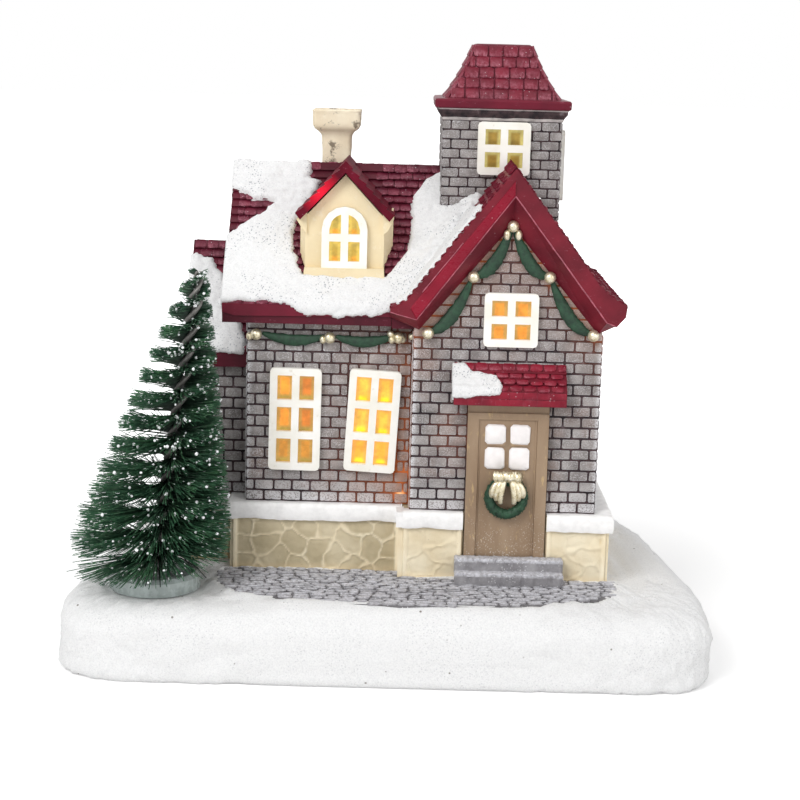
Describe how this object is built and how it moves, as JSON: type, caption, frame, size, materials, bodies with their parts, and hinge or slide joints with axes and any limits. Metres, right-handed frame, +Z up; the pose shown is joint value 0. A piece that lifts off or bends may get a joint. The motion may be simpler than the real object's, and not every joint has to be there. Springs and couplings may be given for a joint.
{
  "type": "christmas village house",
  "caption": "Lit tabletop Christmas village house: brick cottage with gabled block, tower, dormer and chimney, bottle-brush fir, snowy base with battery lamp.",
  "frame": {"origin": "middle of the base's underside, on the surface that it stands on", "axes": "+Z up, -Y out of the door's side (the front), +X to the right seen from the front"},
  "size_m": [0.15, 0.1, 0.1434],
  "materials": {
    "snow_white": "matte, with fine white flock",
    "cobble_grey": "matte paint",
    "plinth_cream": "matte paint",
    "brick_grey": "matte paint, dry-brushed white",
    "roof_red": "satin paint with fine glitter",
    "render_cream": "matte paint",
    "door_brown": "matte paint",
    "frame_ivory": "satin",
    "pane_amber": "translucent, lit from behind",
    "garland_green": "matte paint, balls and bow in gold paint",
    "bow_gold": "gold paint",
    "bristle_green": "thin synthetic fibre with white tips",
    "wire_dark": "dark green coated wire",
    "disc_clear": "pale, slightly clear",
    "housing_white": "moulded",
    "steel": "plain",
    "cell_dark": "shrink sleeve, plain",
    "switch_black": "moulded",
    "lamp_warm": "clear, warm white when lit",
    "lead_red": "insulation",
    "lead_black": "insulation"
  },
  "bodies": {
    "house_body": {"snow_base": "snow_white", "main_roof_snow": "snow_white", "annex_roof_snow": "snow_white", "canopy_snow": "snow_white", "cobble_path": "cobble_grey", "front_steps": "cobble_grey", "main_plinth": "plinth_cream", "block_plinth": "plinth_cream", "annex_plinth": "plinth_cream", "main_walls": "brick_grey", "block_walls": "brick_grey", "annex_walls": "brick_grey", "tower_walls": "brick_grey", "main_roof": "roof_red", "block_roof": "roof_red", "annex_roof": "roof_red", "tower_roof": "roof_red", "dormer_roof": "roof_red", "door_canopy": "roof_red", "dormer_body": "render_cream", "chimney": "render_cream", "door_frame": "door_brown", "door_leaf": "door_brown", "wreath": "garland_green", "eave_garland": "garland_green", "gable_garland": "garland_green", "wreath_bow": "bow_gold", "tree_disc": "disc_clear", "tree_wire_a": "wire_dark", "tree_wire_b": "wire_dark", "tree_bristles": "bristle_green", "battery_box": "housing_white", "led_post": "housing_white", "contact_spring_1": "steel", "contact_spring_2": "steel", "contact_plate": "steel", "cell_1": "cell_dark", "cell_2": "cell_dark", "led_bulb": "lamp_warm", "lead_positive": "lead_red", "lead_negative": "lead_black", "main_window_left_frame": "frame_ivory", "main_window_left_pane": "pane_amber", "main_window_right_frame": "frame_ivory", "main_window_right_pane": "pane_amber", "gable_window_frame": "frame_ivory", "gable_window_pane": "pane_amber", "tower_window_frame": "frame_ivory", "tower_window_pane": "pane_amber", "tower_side_window_frame": "frame_ivory", "tower_side_window_pane": "pane_amber", "dormer_window_frame": "frame_ivory", "dormer_window_pane": "pane_amber", "block_side_window_frame": "frame_ivory", "block_side_window_pane": "pane_amber", "rear_window_frame": "frame_ivory", "rear_window_pane": "pane_amber"},
    "cover_body": {"battery_cover": "housing_white"},
    "screw_body": {"cover_screw": "steel"},
    "switch_body": {"switch_slider": "switch_black"}
  },
  "joints": [
    {"name": "cover_hinge", "type": "hinge", "parent": "house_body", "child": "cover_body", "pos_m": [-0.026, 0.008, 0.001], "axis": [0, 1, 0], "range_deg": [0, 35]},
    {"name": "cover_screw_turn", "type": "hinge", "parent": "cover_body", "child": "screw_body", "pos_m": [0.02975, 0.008, 0.001], "axis": [0, 0, 1], "continuous": true},
    {"name": "switch_slide", "type": "slide", "parent": "house_body", "child": "switch_body", "axis": [1, 0, 0], "range_m": [0, 0.003]}
  ]
}
